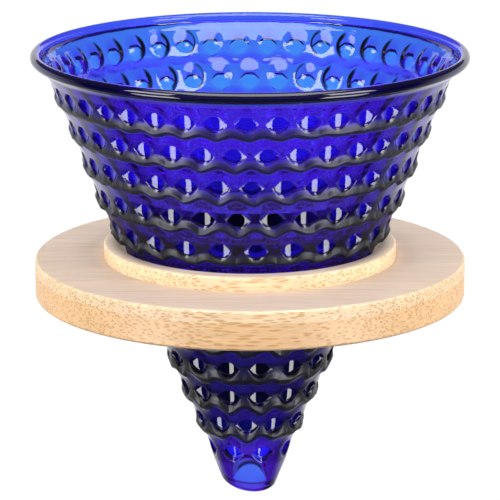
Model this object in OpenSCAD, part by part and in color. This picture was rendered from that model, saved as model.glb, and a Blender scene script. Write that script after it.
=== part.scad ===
// Pour-over coffee dripper: a dimpled glass cone that stands in a two-ply bamboo collar.
// Millimetres, +Z up. Z = 0 is the underside of the collar, and the Z axis is the axis of the cone.

/* [Glass cone] */
// Diameter over the rolled rim
rim_d = 118; // [100:0.5:140]
// Half of the angle between opposite sides of the cone
half_angle = 22.5; // [20:0.1:26]
// Outer diameter of the cone at the underside of the collar
cone_d = 59.8; // [54:0.1:66]
// Outer diameter of the tip, where its slanted end crosses the axis
tip_d = 15.6; // [12:0.1:18]
// Slant of the tip's end
tip_slant = 19.5; // [0:0.5:20]
// Direction in which the tip reaches lowest, counted round from +X
tip_turn = -68; // [-180:1:180]
// Thickness of the glass under the ribs
wall = 2.8; // [2.6:0.1:4]
// Diameter of the bead that ends the rim
bead_d = 2.8; // [2:0.1:4]
// How far the rim stands out from the line of the wall
rim_flare = 1.8; // [0.5:0.1:3]
// Height of the plain flared lip under the bead
lip_h = 3; // [2:0.1:5]

/* [Dimples] */
// Number of dimples in each row, from the top row down
row_counts = [41, 37, 33, 29, 25, 22, 20, 18, 16, 14, 12, 8];
// Height of the bead above the centres of the top row
top_inset = 6.6; // [6:0.1:9]
// Height of the centres of the bottom row above the tip
tip_inset = 11.4; // [10:0.1:20]
// Drop from each row's centres to the crest of the rib under it
rib_drop = 3.6; // [3.4:0.1:4.4]
// Rise from each row's centres to the deepest line of the valley over it
valley_rise = 1.8; // [1:0.1:2.4]
// Depth of the valley over the top row of dimples
valley_top = 1; // [0.1:0.05:1.2]
// Depth of the valley over the bottom row of dimples
valley_low = 1.5; // [0.1:0.05:1.6]
// Width of a dimple
dimple_w = 5.8; // [4:0.1:6]
// Depth of a dimple under the face that it is pressed into
dimple_depth = 1; // [0.3:0.05:1.1]

/* [Collar] */
// Diameter of the collar
collar_d = 117; // [100:0.5:140]
// Thickness of the lower ply
lower_ply = 7.3; // [4:0.1:10]
// Thickness of the upper ply outside the ring
upper_ply = 3.4; // [2:0.1:6]
// Height of the locating ring above the collar
ring_h = 4; // [2:0.1:6]
// Outer diameter of the locating ring
ring_d = 79.6; // [76:0.1:90]
// Rounding of the collar's edges
edge_r = 0.9; // [0.3:0.1:1.5]

/* [Fits] */
// Clearance between the glass and its seat in the collar, measured square to the glass
seat_gap = 0.15; // [0.05:0.05:0.5]

/* [Hidden] */
$fn = 96;
slope = tan(half_angle);
// The wall's thickness along the radius
wall_r = wall / cos(half_angle);
bead_r = rim_d / 2 - bead_d / 2;
bead_z = (rim_d / 2 - rim_flare - cone_d / 2) / slope;
lip_z = bead_z - lip_h;
tip_z = -(cone_d - tip_d) / 2 / slope;
low_z = tip_z - tip_d * tan(tip_slant) - 2;
rows = len(row_counts);
row_pitch = (bead_z - top_inset - tip_z - tip_inset) / (rows - 1);
board_z = lower_ply + upper_ply;
ring_z = board_z + ring_h;
gap_r = seat_gap / cos(half_angle);

// Radius of the outside and of the inside of the cone at a height
function out_r(z) = cone_d / 2 + z * slope;
function in_r(z) = out_r(z) - wall_r;
// Height of a row's centres, and the angle to its first dimple
function row_z(i) = bead_z - top_inset - i * row_pitch;
function row_turn(i) = -90 + (i % 2) * 180 / row_counts[i];
// Depth under the ribs of the valley over a row, and of the face between rib and valley at the row's centres
function valley(i) = valley_top + (valley_low - valley_top) * i / (rows - 1);
function face(i) = valley(i) * rib_drop / (rib_drop + valley_rise);
// The outside's section from the bottom row up: the rib under each row, then the valley over it
function rib_pt(i) = [out_r(row_z(i) - rib_drop), row_z(i) - rib_drop];
function valley_pt(i) = [
    out_r(row_z(i) + valley_rise) - valley(i) / cos(half_angle),
    row_z(i) + valley_rise
];
// Radius of a ball whose cap has this width and height
function ball_r(w, h) = (w * w / 4 + h * h) / 2 / h;
// Points of a quarter round about (x, z), from the angle a on
function round_pts(x, z, r, a) = [for (t = [0 : 15 : 90]) [x + r * cos(a + t), z + r * sin(a + t)]];

// The balls that press a row's dimples, whose centres lie off the cone's line, square to the wall
module row_of_balls(i) {
    r = ball_r(dimple_w, dimple_depth);
    off = r - dimple_depth - face(i);
    for (k = [0 : row_counts[i] - 1])
        rotate([0, 0, row_turn(i) + k * 360 / row_counts[i]])
            translate([out_r(row_z(i)) + off * cos(half_angle), 0, row_z(i) - off * sin(half_angle)])
                sphere(r = r);
}

// The wall's section: up the ribbed outside, over to the bead, and down the plain inside
module wall_section() {
    polygon(concat(
        [[out_r(low_z), low_z]],
        [for (i = [rows - 1 : -1 : 0]) each [rib_pt(i), valley_pt(i)]],
        [
            [out_r(lip_z), lip_z],
            [bead_r + 0.35 * bead_d, bead_z - 0.2 * bead_d],
            [bead_r - 0.35 * bead_d, bead_z - 0.2 * bead_d],
            [in_r(lip_z), lip_z],
            [in_r(low_z), low_z]
        ]
    ));
    translate([bead_r, bead_z])
        circle(d = bead_d);
}

module glass_cone() {
    color([0.08, 0.12, 0.75, 0.6])
    difference() {
        rotate_extrude()
            wall_section();
        for (i = [0 : rows - 1])
            row_of_balls(i);
        translate([0, 0, tip_z])
            rotate([0, tip_slant, tip_turn])
                translate([-rim_d, -rim_d, -2 * rim_d])
                    cube(2 * rim_d);
    }
}

module collar_upper_ply() {
    color([0.93, 0.8, 0.66])
    rotate_extrude()
        polygon(concat(
            [
                [out_r(lower_ply) + gap_r, lower_ply],
                [collar_d / 2, lower_ply]
            ],
            round_pts(collar_d / 2 - edge_r, board_z - edge_r, edge_r, 0),
            [[ring_d / 2, board_z]],
            round_pts(ring_d / 2 - edge_r, ring_z - edge_r, edge_r, 0),
            [[out_r(ring_z) + gap_r, ring_z]]
        ));
}

module collar_lower_ply() {
    color([0.88, 0.7, 0.5])
    rotate_extrude()
        polygon(concat(
            [[out_r(0) + gap_r, 0]],
            round_pts(collar_d / 2 - edge_r, edge_r, edge_r, -90),
            [
                [collar_d / 2, lower_ply],
                [out_r(lower_ply) + gap_r, lower_ply]
            ]
        ));
}

glass_cone();
collar_upper_ply();
collar_lower_ply();
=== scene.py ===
"""The looks of a pour-over coffee dripper: a dimpled cobalt glass cone in a two-ply bamboo collar."""

import math

import bpy
import numpy as np
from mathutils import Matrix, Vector


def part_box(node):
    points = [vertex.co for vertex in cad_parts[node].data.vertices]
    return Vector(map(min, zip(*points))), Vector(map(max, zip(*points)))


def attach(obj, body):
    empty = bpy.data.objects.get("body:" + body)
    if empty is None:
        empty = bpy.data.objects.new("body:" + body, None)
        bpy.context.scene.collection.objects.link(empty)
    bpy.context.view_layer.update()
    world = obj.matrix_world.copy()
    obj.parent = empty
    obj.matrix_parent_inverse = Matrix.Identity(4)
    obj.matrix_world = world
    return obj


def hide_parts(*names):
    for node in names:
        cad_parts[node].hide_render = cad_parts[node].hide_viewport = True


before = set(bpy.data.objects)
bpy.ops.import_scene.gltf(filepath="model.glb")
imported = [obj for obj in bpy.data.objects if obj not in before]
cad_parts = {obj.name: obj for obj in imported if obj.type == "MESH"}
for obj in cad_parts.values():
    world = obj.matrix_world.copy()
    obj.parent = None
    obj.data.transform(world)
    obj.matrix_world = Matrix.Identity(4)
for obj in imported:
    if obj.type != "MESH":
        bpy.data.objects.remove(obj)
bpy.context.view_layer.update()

# Sizes of the object are in millimetres, as in the solids' source, and meshes are scaled to metres
MM = 0.001
GLASS_BOX = [np.array(corner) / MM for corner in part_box("glass_cone")]
LOWER_BOX = [np.array(corner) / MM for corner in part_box("collar_lower_ply")]
UPPER_BOX = [np.array(corner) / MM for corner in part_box("collar_upper_ply")]

# The glass cone
HALF_ANGLE = math.radians(22.5)
SLOPE = math.tan(HALF_ANGLE)
CONE_R = 29.9
WALL = 2.8
BEAD = 1.4
BEAD_R = GLASS_BOX[1][0] - BEAD
BEAD_Z = GLASS_BOX[1][2] - BEAD
# The angles in degrees between which the bead ends the rim
BEAD_ARC = (-60, 215)
LIP_Z = BEAD_Z - 3.0
LIP_DEPTH = 0.5
RIM_FLARE = 0.5
RIM_FLARE_H = 5
TIP_Z = -53.3
TIP_SLANT = math.tan(math.radians(19.5))
TIP_TURN = math.radians(-68)
TIP_ROUND = 0.5
TIP_DEPTH = 0.4
# How far the glass swells out of the cone's line above and below the collar, by height
SWELL = [(-53, 0.3), (-47, 0.8), (-9, 0.9), (-3, 0), (15.3, 0), (18, 0.8), (30, 0.7), (45, 0)]

# The moulded pattern: rows of dimples from the rim down, each turned by some degrees, with a wavy rib
# under each row. A pair goes from the top row's value to the bottom row's, if nothing else is said.
ROW_COUNTS = [41, 37, 33, 29, 25, 22, 20, 18, 16, 14, 12, 8]
ROW_TURNS = [-1, 5, 0.5, 8, 2.5, 2.5, 0, 0, 7, 8, -3.5, 19]
ROWS = len(ROW_COUNTS)
ROW_PITCH = 9.2
TOP_ROW_Z = BEAD_Z - 7.8
VALLEY = (0.95, 1.9)
VALLEY_RISE = 1.8
RIB_DROP = 3.6
RIB_RISE = 1.65
RIB_FALL = 1.3
RIB_UPPER_FOOT = (0.85, 0.7)
RIB_LOWER_FOOT = 0.85
# The wave grows from the top rib over some rows
RIB_WAVE = (0.7, 1.5)
RIB_WAVE_ROWS = 4
# Ribs are softest under the first of two heights and sharpest over the second
RIB_SOFT = 0.2
LOW_RIB_SOFT = 0.75
LOW_RIB_Z = (-8, 12)
DIMPLE_DEPTH = (0.9, 1.3)
DIMPLE_W = 3.4
DIMPLE_TOP = 1.8
DIMPLE_SHOULDER = 2.9
DIMPLE_BOTTOM = 2.6
DIMPLE_CORNER = -0.2
# How steeply a row's dimples deepen upwards
DIMPLE_TILT = [0.29, 0.29, 0.29, 0.29, 0.37, 0.37, 0.29, 0.29, 0.29, 0.29, 0.29, 0.29]
DIMPLE_SIDE = 2.0
DIMPLE_EDGE = 0.1
# The inside has a share of the outside's rings, softened, and bumps that reach further up than down
INSIDE_SOFT = 0.9
INSIDE_SHARE = 0.35
INSIDE_LIFT = 1.0
BUMP_DEPTH = (0.65, 0.9)
BUMP_W = 3.1
BUMP_H = (3.8, 2.9)
BUMP_EDGE = 0.4

# Painted light and shade, given as the glass's share of the light: by height, darkest on the lower cone and
# at the collar, in each row's dimples and in the webs between them.
# Towards the left and right, where the cosine of the angle goes through ASIDE, the side values take over.
HEIGHT_PAINTED_LIGHT = [
    (-52, 0.85),
    (-50, 0.62),
    (-42, 0.58),
    (-36, 0.25),
    (-24, 0.14),
    (6, 0.16),
    (14, 0.4),
    (22, 0.47),
    (34, 0.58),
    (44, 0.71),
    (54, 0.82),
]
DIMPLE_LIGHT = [0.75, 0.68, 0.45, 0.04, 0.4, 0.35, 0.2, 0.01, 0.01, 0.02, 0.12, 0.8]
DIMPLE_LIGHT_EDGE = (-0.1, 0.3)
WEB_PAINTED_LIGHT = [1, 0.95, 0.85, 0.45, 0.2, 0.2, 0.3, 0.35, 0.35, 0.35, 0.45, 1]
WEB_FOOT = (-0.3, 0)
WEB_RISE = (0.2, 2.2)
ASIDE = (0.2, 0.8)
SIDE_DIMPLE_LIGHT = [0.7, 0.7, 0.65, 0.55, 0.5, 0.4, 0.2, 0.05, 0.05, 0.05, 0.12, 0.8]
SIDE_LOSS = 0.35
SIDE_WEB = 0.5
# Painted shade on the ribs, which also stands for their thicker glass: the light above and under a rib's
# crest, and the heights over the crest between which it changes
RIB_PAINTED_LIGHT = (0.25, 0.06)
RIB_CREST = (0, 0.3)
RIB_DARK_END = (0.8, 1.5)
RIB_DARK_FOOT = (-RIB_FALL - 0.2, -RIB_FALL + 0.2)
# The ribs' roughness, which starts and ends at some heights over the crest and stays out of the dimples
RIB_ROUGHNESS = 0.4
SOFT_FOOT = (-RIB_FALL - 0.5, -RIB_FALL)
SOFT_RISE = (1.6, 3.0)
LOW_SOFT_RISE = (3.6, 5.0)
LOW_SOFT_ROW = 6
SOFT_EDGE = (-0.6, 0)
# The shares of red and green in the light
FACE_RED = 0.004
FACE_GREEN = 0.35
DIMPLE_RED = 0.0004
DIMPLE_GREEN = 0.02
INNER_RED = 0.0025
TIP_RED = 0.01
TIP_RED_Z = (-44, -36)
# Painted shade on the rim's outside: its light at the back and at the front
RIM_PAINTED_LIGHT = (0.3, 0.05)
RIM_DARK_FROM = (0, 0.7)
RIM_OUTSIDE = 0.4 * BEAD
# Painted light and shade for the outlet seen through the tip: a pale arch that bends down to its sides,
# under a dark edge, and a dark line at its near edge
ARCH_Z = -46.4
ARCH_BEND = 0.16
ARCH_FADE = (-0.3, 0.2)
ARCH_DARK = ((0, 0.3), (0.9, 1.5))
ARCH_DARK_ASIDE = (3, 4.5)
NEAR_EDGE_Z = -51.2
NEAR_EDGE_FADE = (0, 0.3)
NEAR_LINE = ((-0.4, -0.2), (0, 0.2))
OUTLET_PAINTED_SHADE = 0.8
# Painted shade: dark crescents on the bumps inside, which grow towards the sides of the bowl
CRESCENT_R = 3.1
CRESCENT_W = 2.2
CRESCENT_STRETCH = 1.2
CRESCENT_ASIDE = (0.1, 0.8)
CRESCENT_START = (-0.1, 0.3)
CRESCENT_END = (0, 0.4)
CRESCENT_FAR = (0.4, 1.6)
CRESCENT_LEAST = 0.3

# The colour that the glass lets through, and how fast it takes the rest
GLASS_COLOUR = (0.97, 0.2, 0.96)
GLASS_DENSITY = 1000
GLASS_IOR = 1.5

# The collar
COLLAR_R = LOWER_BOX[1][0]
PLY_Z = LOWER_BOX[1][2]
RING_Z = UPPER_BOX[1][2]
BOARD_Z = 10.7
RING_R = 39.8
EDGE_R = 0.9
SEAT_GAP = 0.16

# Bamboo: the fibres run along X, so they show as streaks on the faces and as dots where they end
FACE_TONE = (0.76, 0.59, 0.43)
FIBRE_TONE = (0.6, 0.27, 0.07)
UPPER_EDGE_TONE = (0.93, 0.69, 0.44)
LOWER_EDGE_TONE = (0.9, 0.58, 0.31)
FACE_FROM = (0.7, 0.95)
STREAK_STEP = 0.8
STREAK_DETAIL = 3
STREAK_LIGHT = (0.88, 1.06)
STRIP_STEP = 9
STRIP_DETAIL = 2
STRIP_LIGHT = (0.94, 1.05)
NOISE_SPAN = (0.3, 0.7)
FIBRE_STRETCH = 0.05
DASH_STRETCH = 0.11
FIBRE_STEP = 0.62
# A dot's edge, the share of dots where they are sparse and dense, and their weight on edges and faces
DOT_EDGE = (0.28, 0.5)
DOT_SHARE = (0.6, 1)
DOT_WEIGHT = (0.65, 0.12)
WOOD_ROUGHNESS = 0.45
GRAIN_STRENGTH = 0.15
GRAIN_HEIGHT = 0.2
# The glass casts no shadow on the collar, so the collar shows darker in the glass and next to it
MIRRORED_SHARE = 0.3
SEAT_SHADE = 0.35
SEAT_SHADE_R = (36.5, 39.2)
SEAT_SHADE_Y = (-34, -15)

# The meshes' steps round the axis, along the wall and round the edges
TURNS = 1080
OUTER_STEP = 0.25
INNER_STEP = 0.45
BEAD_RINGS = 24
LIP_RINGS = 10
PROFILE_STEP = 0.05
PROFILE_MARGIN = 10
PROFILE_REACH = 3
COLLAR_TURNS = 360
EDGE_POINTS = 7
SHARP_ANGLE = math.radians(40)

# The camera, where the photograph was taken from, in metres
CAMERA = Vector((0, -0.8201, 0.2236))
AIM = Vector((0, 0, 0.0118))
LENS = 223.5
SENSOR = 36

# The studio, in metres: a white floor and a round white wall under a darker ceiling. In reflections, the
# white fades out towards the front, from the second Y to the first.
FLOOR_Z = -0.8
STUDIO_R = 2.5
STUDIO_TURNS = 96
WALL_TOP = 0.7
FLOOR_GREY = 0.08
FLOOR_ROUGHNESS = 0.9
FRONT_DARK = (0.2, 1.4)
CEILING_GREY = 0.1

# The lamps: name, place, width, height and power, in metres and watts
LAMPS = [
    ("left_softbox", (-0.9, -0.5, 0.3), 0.45, 0.8, 13),
    ("right_softbox", (0.9, -0.5, 0.3), 0.45, 0.8, 13),
    ("top_softbox", (0, -0.1, 1.2), 0.8, 0.8, 8),
]
LAMP_AIM = Vector((0, 0, 0.02))

# The cards, which only show as reflections: low and high pairs at the sides, a pale one in front, one above
CARD_GLOW = 10
CARD_TURN = 50
CARD_WIDTH = 24
CARD_COLUMNS = 12
LOW_CARD_R = 0.55
LOW_CARD = (-0.35, -0.09)
HIGH_CARD_R = 0.3
HIGH_CARD = (0.12, 0.26)
PALE_GLOW = 0.25
PALE_R = 0.7
PALE_WIDTH = 120
PALE_CARD = (-0.1, 0.5)
TOP_GLOW = 6
TOP_PLACE = (0, -0.2, 0.6)
TOP_SIZE = 0.6


def cone_r(z):
    """Radius of the cone's line, which the ribs reach where the glass doesn't swell."""
    return CONE_R + SLOPE * z


def blend(first, second, share):
    return first + (second - first) * share


def along_rows(ends, i):
    """A value that goes evenly from the top row's to the bottom row's."""
    return blend(*ends, i / (ROWS - 1))


def row_z(i):
    """Height of the centres of a row's dimples."""
    return TOP_ROW_Z - ROW_PITCH * i


def row_turn(i):
    """Angle to the dimple of a row that is nearest the front."""
    return math.radians(ROW_TURNS[i] - 90)


def smooth_max(a, b, soft):
    """The larger of two surfaces, blended over soft where they meet."""
    mix = np.clip(0.5 + 0.5 * (a - b) / soft, 0, 1)
    return b + (a - b) * mix + soft * mix * (1 - mix)


def ramp(value, start, end):
    """An even rise from 0 to 1 between two values, with soft ends."""
    share = np.clip((value - start) / (end - start), 0, 1)
    return share * share * (3 - 2 * share)


def band(value, rise, fall):
    """A rise from 0 to 1 over one range, and a fall back to 0 over another."""
    return ramp(value, *rise) * (1 - ramp(value, *fall))


def valley_profile(soft):
    """Depth of the rings under the cone's line by height, with softened ribs."""
    heights = [LIP_Z]
    depths = [LIP_DEPTH]
    for i in range(ROWS):
        deep = along_rows(VALLEY, i)
        rib = row_z(i) - RIB_DROP
        heights += [row_z(i) + VALLEY_RISE]
        depths += [deep]
        if i + 1 < ROWS:
            heights += [rib + RIB_RISE, rib, rib - RIB_FALL]
            depths += [along_rows(RIB_UPPER_FOOT, i) * deep, 0.0, RIB_LOWER_FOOT * deep]
    heights += [TIP_Z]
    depths += [TIP_DEPTH]
    z = np.arange(TIP_Z - PROFILE_MARGIN, LIP_Z + PROFILE_MARGIN, PROFILE_STEP)
    depth = np.interp(z, heights[::-1], depths[::-1])
    end = PROFILE_REACH * soft
    reach = np.arange(-end, end + PROFILE_STEP, PROFILE_STEP)
    kernel = np.exp(-0.5 * (reach / soft) ** 2)
    return z, np.convolve(depth, kernel / kernel.sum(), mode="same")


OUTER_PROFILE = valley_profile(RIB_SOFT)
LOWER_PROFILE = valley_profile(LOW_RIB_SOFT)
INNER_PROFILE = valley_profile(INSIDE_SOFT)


def rib_shift(turn, z):
    """How far the ribs wander: down under each dimple, and up over the next row's dimples."""
    shift = np.zeros_like(z)
    for i in range(ROWS):
        wave = -np.cos(ROW_COUNTS[i] * (turn - row_turn(i)))
        if i + 1 < ROWS:
            wave += 2 * np.abs(np.cos(ROW_COUNTS[i + 1] * (turn - row_turn(i + 1)) / 2)) - 1
        height = blend(*RIB_WAVE, min(1, i / RIB_WAVE_ROWS))
        reach = np.clip(np.abs(z - row_z(i) + RIB_DROP) / (ROW_PITCH / 2), 0, 1)
        shift += height * wave / 2 * np.cos(reach * math.pi / 2) ** 2
    return shift


def from_dimple(i, turn, z):
    """Distances from the nearest dimple's centre in a row, along the row and up the wall."""
    step = 2 * math.pi / ROW_COUNTS[i]
    across = ((turn - row_turn(i) + step / 2) % step - step / 2) * cone_r(row_z(i))
    return across, (z - row_z(i)) / math.cos(HALF_ANGLE)


def dimple(i, turn, z):
    """Depth of a row's dimples under their valley: scoops under a roof, round at the bottom."""
    across, up = from_dimple(i, turn, z)
    aside = np.abs(across) / DIMPLE_W
    top = np.minimum(DIMPLE_TOP, DIMPLE_SHOULDER * (1 - aside) + DIMPLE_CORNER)
    bottom = DIMPLE_BOTTOM * np.clip(1 - aside ** 2, 0, 1) - DIMPLE_CORNER
    room = np.minimum(top - up, up + bottom)
    scoop = along_rows(DIMPLE_DEPTH, i) * (1 - aside ** 2) + DIMPLE_TILT[i] * up
    return -smooth_max(-scoop, -DIMPLE_SIDE * room, DIMPLE_EDGE)


def swell(z):
    """How far the glass stands out of the cone's line at a height."""
    return np.interp(z, *zip(*SWELL))


def outer_depth(turn, z):
    """Depth of the outside under the cone's line: ribs, and dimples in the valleys between them."""
    along = z - rib_shift(turn, z)
    soft = np.interp(along, *LOWER_PROFILE)
    depth = blend(soft, np.interp(along, *OUTER_PROFILE), ramp(z, *LOW_RIB_Z))
    for i in range(ROWS):
        depth = smooth_max(depth, along_rows(VALLEY, i) + dimple(i, turn, z), DIMPLE_EDGE)
    return depth - swell(z)


def inner_depth(turn, z):
    """Depth of the inside under the cone's line: softer waves, with a bump behind each dimple."""
    low_z = z - INSIDE_LIFT
    depth = WALL + INSIDE_SHARE * np.interp(low_z - rib_shift(turn, low_z), *INNER_PROFILE)
    for i in range(ROWS):
        across, up = from_dimple(i, turn, low_z)
        half_height = np.where(up > 0, *BUMP_H)
        bump = along_rows(BUMP_DEPTH, i) * (1 - (across / BUMP_W) ** 2 - (up / half_height) ** 2)
        depth += smooth_max(bump, np.zeros_like(z), BUMP_EDGE)
    return depth - swell(z) - RIM_FLARE * ramp(z, LIP_Z - RIM_FLARE_H, LIP_Z)


def light_colour(light, red, green):
    """The tint of a point of the glass, by its share of the light, which paints light and shade, and by the
    red and green in it.
    """
    return np.stack([light ** 2 * red, light ** 2 * green, light ** 2, np.ones_like(light)], -1)


def rib_light(over):
    """Painted shade on a rib: the share of the light that it leaves, by the height over its crest."""
    above = ramp(over, *RIB_CREST)
    upper = above - ramp(over, *RIB_DARK_END)
    under = ramp(over, *RIB_DARK_FOOT) - above
    return (1 - (1 - RIB_PAINTED_LIGHT[0]) * upper) * (1 - (1 - RIB_PAINTED_LIGHT[1]) * under)


def tip_painted_light(turn, z, light, red, green):
    """Painted light and shade at the tip: a pale arch under a dark edge stands for the outlet seen through
    the glass, and a dark line for its near edge.
    """
    across = np.abs((turn + 1.5 * math.pi) % (2 * math.pi) - math.pi) * cone_r(z)
    over_arch = z - (ARCH_Z - ARCH_BEND * across ** 2)
    over_edge = z - NEAR_EDGE_Z
    inside = (1 - ramp(over_arch, *ARCH_FADE)) * ramp(over_edge, *NEAR_EDGE_FADE)
    edge = band(over_arch, *ARCH_DARK) * (1 - ramp(across, *ARCH_DARK_ASIDE))
    line = band(over_edge, *NEAR_LINE)
    light = blend(light, 1, inside) * (1 - OUTLET_PAINTED_SHADE * edge) * (1 - OUTLET_PAINTED_SHADE * line)
    return light, blend(red, FACE_RED, inside), blend(green, 1, inside)


def outer_tint_with_painted_light(turn, z):
    """Colour of the light that gets in through the outside, with painted light and shade: set by height,
    less on the thick ribs, in the webs and in the dimples, and changed towards the sides.
    """
    aside = ramp(np.abs(np.cos(turn)), *ASIDE)
    light = np.interp(z, *zip(*HEIGHT_PAINTED_LIGHT)) * (1 - SIDE_LOSS * aside)
    red = blend(TIP_RED, FACE_RED, ramp(z, *TIP_RED_Z))
    green = np.full_like(z, FACE_GREEN)
    along = z - rib_shift(turn, z)
    for i in range(ROWS):
        over = along - row_z(i) + RIB_DROP
        if i + 1 < ROWS:
            light = light * rib_light(over)
        web = ramp(over, *WEB_FOOT) * (1 - ramp(z - row_z(i), *WEB_RISE))
        web_light = WEB_PAINTED_LIGHT[i] * (1 - (1 - SIDE_WEB) * aside)
        light = light * (1 - web * (1 - web_light))
        pit = ramp(dimple(i, turn, z), *DIMPLE_LIGHT_EDGE)
        light = blend(light, blend(DIMPLE_LIGHT[i], SIDE_DIMPLE_LIGHT[i], aside), pit)
        red = blend(red, DIMPLE_RED, pit)
        green = blend(green, DIMPLE_GREEN, pit)
    return light_colour(*tip_painted_light(turn, z, light, red, green))


def inner_tint_with_painted_crescents(turn, z):
    """Colour of the light that gets in through the inside, with painted shade: dark crescents at the far
    sides of the bumps.
    """
    light = np.ones_like(z)
    width = CRESCENT_W * ramp(np.abs(np.cos(turn)), *CRESCENT_ASIDE)
    for i in range(ROWS):
        across, up = from_dimple(i, turn, z - INSIDE_LIFT)
        far = across * np.sign(np.sin(2 * turn))
        out = np.hypot(far, up / CRESCENT_STRETCH) - CRESCENT_R
        crescent = ramp(out + width, *CRESCENT_START) * (1 - ramp(out, *CRESCENT_END))
        light = light * (1 - crescent * ramp(far, *CRESCENT_FAR) * (width > CRESCENT_LEAST))
    return light_colour(light, INNER_RED, 1)


def rim_tint_with_painted_shade(radius, turn):
    """Colour of the light that gets in through the rim, with painted shade: dark on its outside, most of all
    at the front.
    """
    outside = ramp(radius, BEAD_R, BEAD_R + RIM_OUTSIDE)
    front = ramp(-np.sin(turn), *RIM_DARK_FROM)
    light = blend(1, blend(*RIM_PAINTED_LIGHT, front), outside)
    return light_colour(light, INNER_RED, blend(1, FACE_GREEN, outside))


def rib_roughness(turn, z):
    """Roughness of the ribs, and of the webs over them in the low rows, which blurs what they mirror."""
    along = z - rib_shift(turn, z)
    rough = np.zeros_like(z)
    for i in range(ROWS - 1):
        over = along - row_z(i) + RIB_DROP
        rise = SOFT_RISE if i < LOW_SOFT_ROW else LOW_SOFT_RISE
        outside = 1 - ramp(dimple(i, turn, z), *SOFT_EDGE)
        rough += RIB_ROUGHNESS * band(over, SOFT_FOOT, rise) * outside
    return rough


def tip_end(turn, depth):
    """Height on the cone's line from which a point at a depth lies on the slanted end of the tip."""
    lean = TIP_SLANT * np.cos(turn - TIP_TURN)
    out = CONE_R - depth * math.cos(HALF_ANGLE)
    return (TIP_Z + TIP_ROUND - depth * math.sin(HALF_ANGLE) - out * lean) / (1 + SLOPE * lean)


def wall_surface(turn, z, depth, end_depth):
    """Rings of radius and height along one side of the wall, moved square to the cone's line."""
    start = row_z(ROWS - 1) - RIB_DROP
    drop = np.clip((start - z) / (start - TIP_Z), 0, 1)
    z = z + drop * (tip_end(turn, end_depth) - TIP_Z)
    return cone_r(z) - depth * math.cos(HALF_ANGLE), z + depth * math.sin(HALF_ANGLE)


def bead_rings():
    """Rings round the section of the rim's bead, from the outside over to the inside."""
    angles = np.radians(np.linspace(*BEAD_ARC, BEAD_RINGS))
    r = BEAD_R + BEAD * np.cos(angles)
    z = BEAD_Z + BEAD * np.sin(angles)
    return np.repeat(r[:, None], TURNS, 1), np.repeat(z[:, None], TURNS, 1)


def lip_rings(outer_r, outer_z, inner_r, inner_z):
    """Half-round rings that join the inside to the outside at the tip."""
    angles = np.linspace(math.pi, 0, LIP_RINGS + 2)[1:-1, None]
    middle_r = (outer_r + inner_r) / 2
    half = (outer_r - inner_r) / 2
    middle_z = (outer_z + inner_z) / 2
    tilt = (outer_z - inner_z) / 2
    return middle_r + half * np.cos(angles), middle_z + tilt * np.cos(angles) - TIP_ROUND * np.sin(angles)


def closed_mesh(name, radius, height):
    """A mesh through rings of points round the axis, closed from the last ring to the first."""
    rings, turns = radius.shape
    turn = np.linspace(0, 2 * math.pi, turns, endpoint=False)
    points = np.stack([radius * np.cos(turn), radius * np.sin(turn), height], -1).reshape(-1, 3) * MM
    ring, column = np.meshgrid(np.arange(rings), np.arange(turns), indexing="ij")
    next_ring = (ring + 1) % rings
    next_column = (column + 1) % turns
    corners = [
        ring * turns + column,
        ring * turns + next_column,
        next_ring * turns + next_column,
        next_ring * turns + column,
    ]
    faces = np.stack(corners, -1).reshape(-1, 4)
    mesh = bpy.data.meshes.new(name)
    mesh.vertices.add(len(points))
    mesh.vertices.foreach_set("co", points.astype(np.float32).ravel())
    mesh.loops.add(faces.size)
    mesh.loops.foreach_set("vertex_index", faces.astype(np.int32).ravel())
    mesh.polygons.add(len(faces))
    mesh.polygons.foreach_set("loop_start", np.arange(0, faces.size, 4, dtype=np.int32))
    mesh.update(calc_edges=True)
    mesh.validate()
    mesh.shade_smooth()
    piece = bpy.data.objects.new(name, mesh)
    bpy.context.scene.collection.objects.link(piece)
    return piece


def set_points(piece, name, kind, field, values):
    """Gives each point of a piece a value that its material reads."""
    attribute = piece.data.attributes.new(name, kind, "POINT")
    attribute.data.foreach_set(field, values.astype(np.float32).ravel())


def make_glass():
    """The cone as one closed skin: up the outside, over the rim, down the inside and round the tip's end."""
    around = np.linspace(0, 2 * math.pi, TURNS, endpoint=False)
    turn, z = np.meshgrid(around, np.arange(TIP_Z, LIP_Z, OUTER_STEP))
    depth = outer_depth(turn, z)
    outer = wall_surface(turn, z, depth, depth[0])
    # The tints below carry painted light and shade on the outside, the rim and the inside
    tints = [outer_tint_with_painted_light(turn, z)]
    rib_blur = rib_roughness(turn, z)
    rim = bead_rings()
    tints += [rim_tint_with_painted_shade(rim[0], around)]
    turn, z = np.meshgrid(around, np.arange(TIP_Z, LIP_Z, INNER_STEP)[::-1])
    depth = inner_depth(turn, z)
    inner = wall_surface(turn, z, depth, depth[-1])
    tints += [inner_tint_with_painted_crescents(turn, z)]
    lip = lip_rings(outer[0][0], outer[1][0], inner[0][-1], inner[1][-1])
    tints += [light_colour(np.ones_like(lip[0]), INNER_RED, 1)]
    radius, height = (np.concatenate(rings) for rings in zip(outer, rim, inner, lip))
    blur = np.zeros_like(radius)
    blur[: len(rib_blur)] = rib_blur
    glass = closed_mesh("cone_glass", radius, height)
    # Each point's tint holds painted light and shade as well as the glass's red and green
    set_points(glass, "tint_and_painted_light", "FLOAT_COLOR", "color", np.concatenate(tints))
    set_points(glass, "blur", "FLOAT", "value", blur)
    glass.visible_shadow = False
    return glass


def revolve(name, section):
    """A section of points of radius and height, turned round the axis."""
    section = np.array(section)
    radius = np.repeat(section[:, :1], COLLAR_TURNS, 1)
    height = np.repeat(section[:, 1:], COLLAR_TURNS, 1)
    piece = closed_mesh(name, radius, height)
    piece.data.set_sharp_from_angle(angle=SHARP_ANGLE)
    return piece


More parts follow.
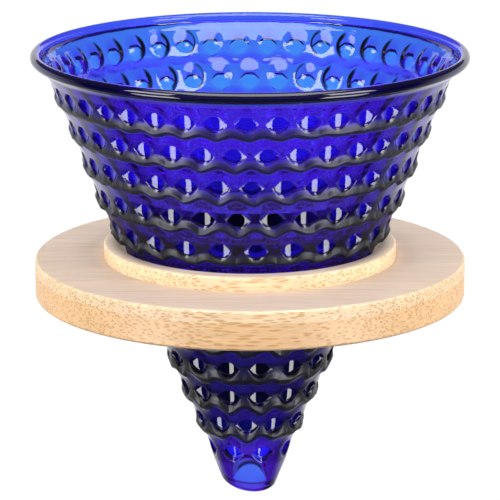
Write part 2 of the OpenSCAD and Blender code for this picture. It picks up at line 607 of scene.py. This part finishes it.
def quarter(r, z, start):
    """Points of a quarter round of the collar's edge about a centre."""
    angles = [math.radians(start + 90 * k / (EDGE_POINTS - 1)) for k in range(EDGE_POINTS)]
    return [(r + EDGE_R * math.cos(a), z + EDGE_R * math.sin(a)) for a in angles]


def make_upper_ply():
    section = [(cone_r(PLY_Z) + SEAT_GAP, PLY_Z), (COLLAR_R, PLY_Z)]
    section += quarter(COLLAR_R - EDGE_R, BOARD_Z - EDGE_R, 0)
    section += [(RING_R, BOARD_Z)]
    section += quarter(RING_R - EDGE_R, RING_Z - EDGE_R, 0)
    section += [(cone_r(RING_Z) + SEAT_GAP, RING_Z)]
    return revolve("upper_ply", section)


def make_lower_ply():
    section = [(cone_r(0) + SEAT_GAP, 0)]
    section += quarter(COLLAR_R - EDGE_R, EDGE_R, -90)
    section += [(COLLAR_R, PLY_Z), (cone_r(PLY_Z) + SEAT_GAP, PLY_Z)]
    return revolve("lower_ply", section)


def new_material(name):
    material = bpy.data.materials.new(name)
    material.use_nodes = True
    nodes = material.node_tree.nodes
    return material, nodes, material.node_tree.links, nodes["Principled BSDF"]


def mix_colours(nodes, links, factor, first, second):
    """A node that goes from one colour to another, where each is a colour or a node's output."""
    mix = nodes.new("ShaderNodeMix")
    mix.data_type = "RGBA"
    links.new(factor, mix.inputs["Factor"])
    for name, colour in (("A", first), ("B", second)):
        if isinstance(colour, tuple):
            mix.inputs[name].default_value = (*colour, 1)
        else:
            links.new(colour, mix.inputs[name])
    return mix.outputs["Result"]


def math_node(nodes, links, operation, first, second):
    """A node that works with two values, where each is a number or a node's output."""
    node = nodes.new("ShaderNodeMath")
    node.operation = operation
    for k, value in enumerate((first, second)):
        if isinstance(value, (int, float)):
            node.inputs[k].default_value = value
        else:
            links.new(value, node.inputs[k])
    return node.outputs[0]


def span(nodes, links, value, low, high, at_low=0.0, at_high=1.0):
    """A node that maps a range of values to another range."""
    node = nodes.new("ShaderNodeMapRange")
    node.inputs["From Min"].default_value = low
    node.inputs["From Max"].default_value = high
    node.inputs["To Min"].default_value = at_low
    node.inputs["To Max"].default_value = at_high
    links.new(value, node.inputs["Value"])
    return node.outputs["Result"]


def split(nodes, links, vector):
    """A node that gives the three parts of a vector."""
    node = nodes.new("ShaderNodeSeparateXYZ")
    links.new(vector, node.inputs[0])
    return node


def point_value(nodes, name):
    """A node that reads what is given point by point."""
    node = nodes.new("ShaderNodeAttribute")
    node.attribute_name = name
    return node


def cobalt_glass():
    """Glass that tints light where it enters, point by point with painted light and shade, and takes more of
    it the further it goes.
    """
    material, nodes, links, shader = new_material("cobalt_glass")
    shader.inputs["Transmission Weight"].default_value = 1
    shader.inputs["IOR"].default_value = GLASS_IOR
    links.new(point_value(nodes, "blur").outputs["Fac"], shader.inputs["Roughness"])
    tint_and_painted_light = point_value(nodes, "tint_and_painted_light").outputs["Color"]
    path = nodes.new("ShaderNodeLightPath")
    tint = mix_colours(nodes, links, path.outputs["Transmission Depth"], tint_and_painted_light, (1, 1, 1))
    links.new(tint, shader.inputs["Base Color"])
    depth = nodes.new("ShaderNodeVolumeAbsorption")
    depth.inputs["Color"].default_value = (*GLASS_COLOUR, 1)
    depth.inputs["Density"].default_value = GLASS_DENSITY
    links.new(depth.outputs["Volume"], nodes["Material Output"].inputs["Volume"])
    return material


def fibre_space(nodes, links, step, stretch=FIBRE_STRETCH):
    """Coordinates in steps across the fibres, drawn out along them."""
    place = nodes.new("ShaderNodeTexCoord")
    scale = nodes.new("ShaderNodeMapping")
    across = 1 / (step * MM)
    scale.inputs["Scale"].default_value = (across * stretch, across, across)
    links.new(place.outputs["Object"], scale.inputs["Vector"])
    return scale.outputs["Vector"]


def fibre_noise(nodes, links, step, detail):
    """Soft noise that is drawn out along the fibres."""
    noise = nodes.new("ShaderNodeTexNoise")
    noise.inputs["Scale"].default_value = 1
    noise.inputs["Detail"].default_value = detail
    links.new(fibre_space(nodes, links, step), noise.inputs["Vector"])
    return noise.outputs["Fac"]


def fibre_dots(nodes, links, height, dense_z, sparse_z):
    """Dark dots and dashes of the fibres, densest at one height of the ply."""
    fibres = nodes.new("ShaderNodeTexVoronoi")
    fibres.inputs["Scale"].default_value = 1
    links.new(fibre_space(nodes, links, FIBRE_STEP, DASH_STRETCH), fibres.inputs["Vector"])
    dot = span(nodes, links, fibres.outputs["Distance"], *DOT_EDGE, 1, 0)
    kind = nodes.new("ShaderNodeSeparateColor")
    links.new(fibres.outputs["Color"], kind.inputs[0])
    share = span(nodes, links, height, sparse_z * MM, dense_z * MM, *DOT_SHARE)
    shown = math_node(nodes, links, "LESS_THAN", kind.outputs["Red"], share)
    return math_node(nodes, links, "MULTIPLY", dot, shown)


def seat_shade(nodes, links, axes):
    """Shade that the glass leaves on the ring round it, but for the front."""
    x_square = math_node(nodes, links, "POWER", axes.outputs["X"], 2)
    y_square = math_node(nodes, links, "POWER", axes.outputs["Y"], 2)
    radius = math_node(nodes, links, "SQRT", math_node(nodes, links, "ADD", x_square, y_square), 0)
    near, far = (r * MM for r in SEAT_SHADE_R)
    shade = span(nodes, links, radius, near, far, SEAT_SHADE, 1)
    front, back = (y * MM for y in SEAT_SHADE_Y)
    lit = span(nodes, links, axes.outputs["Y"], front, back, 1, 0)
    return math_node(nodes, links, "MAXIMUM", shade, lit)


def wood_light(nodes, links, axes, streaks):
    """How bright the wood is: streaks and strips, the shade at the seat, and less where it is mirrored."""
    strips = fibre_noise(nodes, links, STRIP_STEP, STRIP_DETAIL)
    path = nodes.new("ShaderNodeLightPath")
    shares = [
        span(nodes, links, strips, *NOISE_SPAN, *STRIP_LIGHT),
        seat_shade(nodes, links, axes),
        span(nodes, links, path.outputs["Is Glossy Ray"], 0, 1, 1, MIRRORED_SHARE),
    ]
    light = span(nodes, links, streaks, *NOISE_SPAN, *STREAK_LIGHT)
    for share in shares:
        light = math_node(nodes, links, "MULTIPLY", light, share)
    return light


def bamboo(name, edge_tone, dense_z, sparse_z):
    """Bamboo with fibres that lie densest at one height of the ply."""
    material, nodes, links, shader = new_material(name)
    axes = split(nodes, links, nodes.new("ShaderNodeTexCoord").outputs["Object"])
    facing = split(nodes, links, nodes.new("ShaderNodeNewGeometry").outputs["Normal"])
    level = math_node(nodes, links, "ABSOLUTE", facing.outputs["Z"], 0)
    face = span(nodes, links, level, *FACE_FROM)
    tone = mix_colours(nodes, links, face, edge_tone, FACE_TONE)
    dots = fibre_dots(nodes, links, axes.outputs["Z"], dense_z, sparse_z)
    weight = math_node(nodes, links, "MULTIPLY", dots, span(nodes, links, face, 0, 1, *DOT_WEIGHT))
    streaks = fibre_noise(nodes, links, STREAK_STEP, STREAK_DETAIL)
    lit = nodes.new("ShaderNodeVectorMath")
    lit.operation = "SCALE"
    links.new(mix_colours(nodes, links, weight, tone, FIBRE_TONE), lit.inputs[0])
    links.new(wood_light(nodes, links, axes, streaks), lit.inputs["Scale"])
    links.new(lit.outputs["Vector"], shader.inputs["Base Color"])
    shader.inputs["Roughness"].default_value = WOOD_ROUGHNESS
    grain = nodes.new("ShaderNodeBump")
    grain.inputs["Strength"].default_value = GRAIN_STRENGTH
    grain.inputs["Distance"].default_value = GRAIN_HEIGHT * MM
    links.new(streaks, grain.inputs["Height"])
    links.new(grain.outputs["Normal"], shader.inputs["Normal"])
    return material


def dress(piece, material, body, node):
    """Gives a piece its material, says what it rides on, and hides the solid it stands for."""
    piece.data.materials.append(material)
    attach(piece, body)
    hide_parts(node)


def aim(thing, at):
    thing.rotation_euler = (at - thing.location).to_track_quat("-Z", "Y").to_euler()


def make_camera():
    data = bpy.data.cameras.new("camera")
    data.lens = LENS
    data.sensor_width = SENSOR
    camera = bpy.data.objects.new("camera", data)
    camera.location = CAMERA
    aim(camera, AIM)
    bpy.context.scene.collection.objects.link(camera)
    bpy.context.scene.camera = camera


def studio_white():
    """A pale surface that looks white, though in reflections only where it lies behind the object."""
    material, nodes, links, shader = new_material("studio_white")
    shader.inputs["Base Color"].default_value = (FLOOR_GREY, FLOOR_GREY, FLOOR_GREY, 1)
    shader.inputs["Roughness"].default_value = FLOOR_ROUGHNESS
    shader.inputs["Emission Color"].default_value = (1, 1, 1, 1)
    path = nodes.new("ShaderNodeLightPath").outputs
    place = split(nodes, links, nodes.new("ShaderNodeNewGeometry").outputs["Position"])
    behind = span(nodes, links, place.outputs["Y"], *FRONT_DARK)
    mirrored = math_node(nodes, links, "MULTIPLY", path["Is Glossy Ray"], behind)
    in_glass = math_node(nodes, links, "MAXIMUM", mirrored, path["Is Transmission Ray"])
    seen = math_node(nodes, links, "MAXIMUM", path["Is Camera Ray"], in_glass)
    links.new(seen, shader.inputs["Emission Strength"])
    return material


def make_studio():
    bpy.ops.mesh.primitive_circle_add(
        vertices=STUDIO_TURNS,
        radius=STUDIO_R,
        fill_type="NGON",
        location=(0, 0, FLOOR_Z),
    )
    floor = bpy.context.object
    floor.name = "floor"
    bpy.ops.mesh.primitive_cylinder_add(
        vertices=STUDIO_TURNS,
        radius=STUDIO_R,
        depth=WALL_TOP - FLOOR_Z,
        end_fill_type="NOTHING",
        location=(0, 0, (WALL_TOP + FLOOR_Z) / 2),
    )
    wall = bpy.context.object
    wall.name = "studio_wall"
    white = studio_white()
    for surface in (floor, wall):
        surface.data.materials.append(white)


def make_world():
    world = bpy.data.worlds.new("ceiling")
    bpy.context.scene.world = world
    world.use_nodes = True
    background = world.node_tree.nodes["Background"]
    background.inputs["Color"].default_value = (CEILING_GREY, CEILING_GREY, CEILING_GREY, 1)


def add_lamp(name, location, width, height, power):
    data = bpy.data.lights.new(name, "AREA")
    data.shape = "RECTANGLE"
    data.size = width
    data.size_y = height
    data.energy = power
    lamp = bpy.data.objects.new(name, data)
    lamp.location = location
    aim(lamp, LAMP_AIM)
    lamp.visible_glossy = False
    bpy.context.scene.collection.objects.link(lamp)


def add_card(name, points, faces, glow):
    """A panel that only shows as a reflection."""
    material, nodes, links, shader = new_material(name)
    shader.inputs["Base Color"].default_value = (0, 0, 0, 1)
    shader.inputs["Specular IOR Level"].default_value = 0
    shader.inputs["Emission Color"].default_value = (1, 1, 1, 1)
    shader.inputs["Emission Strength"].default_value = glow
    mesh = bpy.data.meshes.new(name)
    mesh.from_pydata(points, [], faces)
    mesh.materials.append(material)
    card = bpy.data.objects.new(name, mesh)
    bpy.context.scene.collection.objects.link(card)
    card.visible_camera = False
    card.visible_diffuse = False
    card.visible_transmission = False
    card.visible_shadow = False


def add_round_card(name, turn, distance, width, heights, glow):
    """A card that stands round the object's axis, over some degrees."""
    points = []
    for k in range(CARD_COLUMNS + 1):
        angle = math.radians(turn - 90 + width * (k / CARD_COLUMNS - 0.5))
        for z in heights:
            points.append((distance * math.cos(angle), distance * math.sin(angle), z))
    faces = [(2 * k, 2 * k + 2, 2 * k + 3, 2 * k + 1) for k in range(CARD_COLUMNS)]
    add_card(name, points, faces, glow)


def add_top_card():
    """A square card that lies over the object."""
    x, y, z = TOP_PLACE
    half = TOP_SIZE / 2
    points = [(x + a * half, y + b * half, z) for a, b in ((-1, -1), (1, -1), (1, 1), (-1, 1))]
    add_card("top_card", points, [(0, 1, 2, 3)], TOP_GLOW)


def make_cards():
    add_round_card("pale_wall", 0, PALE_R, PALE_WIDTH, PALE_CARD, PALE_GLOW)
    add_top_card()
    for turn in (-CARD_TURN, CARD_TURN):
        add_round_card("low_card", turn, LOW_CARD_R, CARD_WIDTH, LOW_CARD, CARD_GLOW)
        add_round_card("high_card", turn, HIGH_CARD_R, CARD_WIDTH, HIGH_CARD, CARD_GLOW)


upper_bamboo = bamboo("bamboo_upper", UPPER_EDGE_TONE, BOARD_Z, RING_Z)
lower_bamboo = bamboo("bamboo_lower", LOWER_EDGE_TONE, PLY_Z, 0)
dress(make_glass(), cobalt_glass(), "cone", "glass_cone")
dress(make_upper_ply(), upper_bamboo, "collar", "collar_upper_ply")
dress(make_lower_ply(), lower_bamboo, "collar", "collar_lower_ply")
make_camera()
make_studio()
make_world()
for lamp_values in LAMPS:
    add_lamp(*lamp_values)
make_cards()

scene = bpy.context.scene
scene.view_settings.view_transform = "Standard"
scene.cycles.max_bounces = 24
scene.cycles.transmission_bounces = 16
scene.cycles.glossy_bounces = 8
